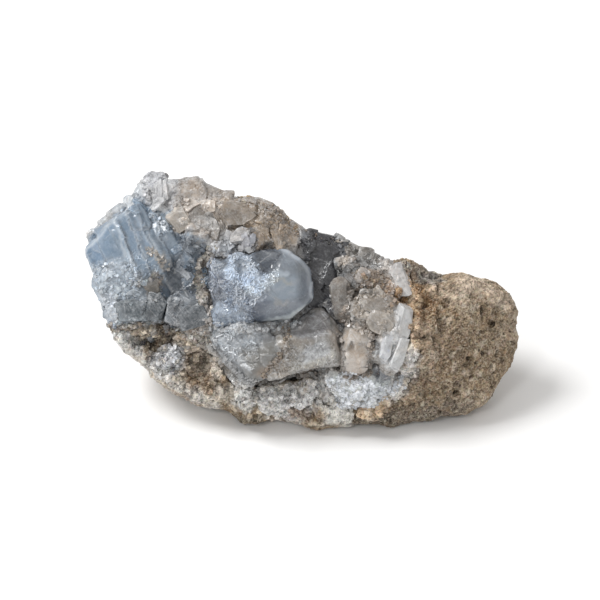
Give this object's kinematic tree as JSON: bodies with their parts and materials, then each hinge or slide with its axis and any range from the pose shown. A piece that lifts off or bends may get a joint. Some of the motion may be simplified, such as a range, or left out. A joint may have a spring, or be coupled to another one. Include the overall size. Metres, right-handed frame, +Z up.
{
  "type": "celestite crystal cluster",
  "caption": "Broken piece of a crystal-lined limestone nodule: blunt pale blue celestite crystals in a crust of small crystals on brown rock, resting on its flat broken base.",
  "frame": {"origin": "on the table under the middle of the piece's bounding box", "axes": "+X along the length, from the crystal end to the round bare end; +Y towards the back; +Z up. The crystal face looks to -Y and up"},
  "size_m": [0.123, 0.0618, 0.0596],
  "materials": {
    "limestone": "rough, granular, earthy brown with pale grains",
    "small_crystals": "sugary crust of small pale crystals with glinting faces",
    "blue_celestite": "clear to cloudy pale grey-blue crystal",
    "pale_celestite": "cloudy white to buff crystal",
    "smoky_celestite": "dark grey clear crystal"
  },
  "bodies": {
    "root": {"host_rock": "limestone", "crystal_crust": "small_crystals", "left_crystal": "blue_celestite", "middle_crystal": "blue_celestite", "lower_crystal": "blue_celestite", "shelf_crystal": "pale_celestite", "smoky_crystal": "smoky_celestite", "pale_crystals": "pale_celestite"}
  },
  "joints": []
}
